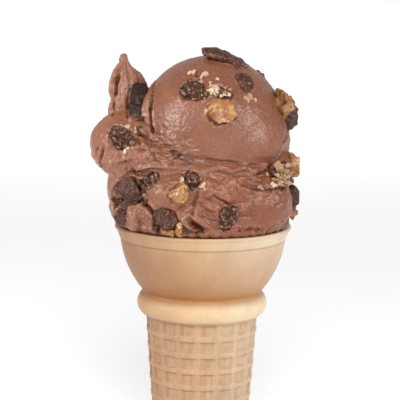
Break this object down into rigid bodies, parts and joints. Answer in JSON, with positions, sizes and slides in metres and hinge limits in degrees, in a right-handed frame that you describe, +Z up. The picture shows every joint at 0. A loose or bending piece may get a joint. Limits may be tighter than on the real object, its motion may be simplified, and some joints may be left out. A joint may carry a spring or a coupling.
{
  "type": "ice cream cone",
  "caption": "Flat-bottomed wafer cone with a waffle-grid stem, heaped with chocolate ice cream that holds chocolate, cookie, nut and toffee pieces",
  "frame": {"origin": "centre of the flat foot of the cone, on the surface it stands on", "axes": "+Z up along the cone's own axis, -Y the side that faces the viewer, +X to the viewer's right"},
  "size_m": [0.0729, 0.0646, 0.1481],
  "materials": {
    "wafer": "baked wafer, dry and matte",
    "ice_cream": "soft chocolate ice cream, faintly wet",
    "chocolate": "dark chocolate, satin",
    "cookie": "dark cookie, rough and crumbly",
    "nut": "roasted nut, satin",
    "toffee": "toffee, glossy"
  },
  "bodies": {
    "root": {"wafer_cone": "wafer", "upper_scoop": "ice_cream", "lower_scoop": "ice_cream", "chocolate_slab": "chocolate", "cookie_edge": "cookie", "chocolate_shard": "chocolate", "chocolate_wedge": "chocolate", "chocolate_flake": "chocolate", "chocolate_chip": "chocolate", "cookie_upper": "cookie", "nut_upper": "nut", "toffee_upper": "toffee", "nut_upper_right": "nut", "nut_middle_right": "nut", "toffee_right": "toffee", "chocolate_right": "chocolate", "nut_lower_right": "nut", "cookie_left": "cookie", "toffee_lower": "toffee", "cookie_lower": "cookie", "chocolate_front": "chocolate", "cookie_front": "cookie", "toffee_back": "toffee", "chocolate_back": "chocolate", "nut_back": "nut", "cookie_back": "cookie", "chip_back": "chocolate", "cookie_side": "cookie"}
  },
  "joints": []
}
